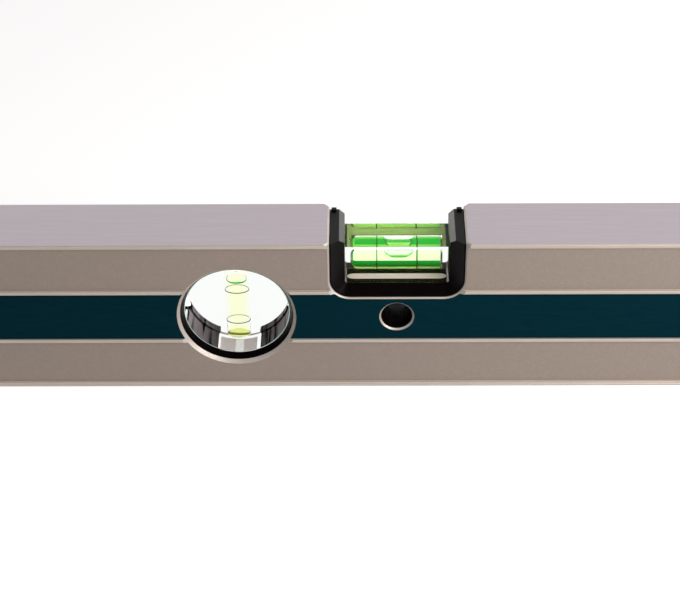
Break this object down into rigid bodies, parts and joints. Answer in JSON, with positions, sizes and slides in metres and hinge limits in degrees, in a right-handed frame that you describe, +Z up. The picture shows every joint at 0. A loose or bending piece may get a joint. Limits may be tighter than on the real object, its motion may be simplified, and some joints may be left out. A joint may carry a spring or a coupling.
{
  "type": "spirit level",
  "caption": "Box-section spirit level with a notched top-reading vial, a round plumb vial, a hanging hole and bumpered end caps.",
  "frame": {"origin": "centre of the bottom measuring face", "axes": "+X along the level to its right end, +Y through the level to its back, +Z up to the top measuring face"},
  "size_m": [0.4, 0.024, 0.06],
  "materials": {
    "anodised_aluminium": "satin",
    "teal_foil": "satin",
    "black_plastic": "satin",
    "pale_strip": "matte",
    "cast_resin": "satin",
    "index_ink": "matte",
    "clear_acrylic": "gloss",
    "clear_plug": "gloss",
    "bubble_gas": "gloss",
    "green_liquid": "gloss",
    "yellow_green_liquid": "gloss",
    "dark_pad": "matte",
    "cap_plastic": "satin",
    "bumper_rubber": "matte"
  },
  "bodies": {
    "level": {"profile": "anodised_aluminium", "front_stripe": "teal_foil", "back_stripe": "teal_foil", "main_vial_frame": "black_plastic", "main_vial_reflector": "pale_strip", "main_frame_resin": "cast_resin", "main_vial_lines": "index_ink", "main_vial_block": "clear_acrylic", "main_vial_plug": "clear_plug", "main_vial_liquid": "green_liquid", "plumb_front_ring": "black_plastic", "plumb_back_ring": "black_plastic", "plumb_ring_pads": "dark_pad", "plumb_vial_lines": "index_ink", "plumb_vial_block": "clear_acrylic", "plumb_vial_plug": "clear_plug", "plumb_vial_liquid": "yellow_green_liquid", "hang_front_bush": "black_plastic", "hang_back_bush": "black_plastic", "left_end_cap": "cap_plastic", "right_end_cap": "cap_plastic", "left_end_bumper": "bumper_rubber", "right_end_bumper": "bumper_rubber"},
    "main_bubble": {"main_vial_bubble": "bubble_gas"},
    "plumb_bubble": {"plumb_vial_bubble": "bubble_gas"}
  },
  "joints": [
    {"name": "main_bubble_slide", "type": "slide", "parent": "level", "child": "main_bubble", "axis": [1, 0, 0], "range_m": [-0.0092, 0.0087], "stiffness_N_per_m": 0.5, "deforming": ["main_vial_liquid"]},
    {"name": "plumb_bubble_slide", "type": "slide", "parent": "level", "child": "plumb_bubble", "axis": [0, 0, 1], "range_m": [-0.0208, 0], "stiffness_N_per_m": 0.5, "springref_m": 0.03, "deforming": ["plumb_vial_liquid"]}
  ]
}
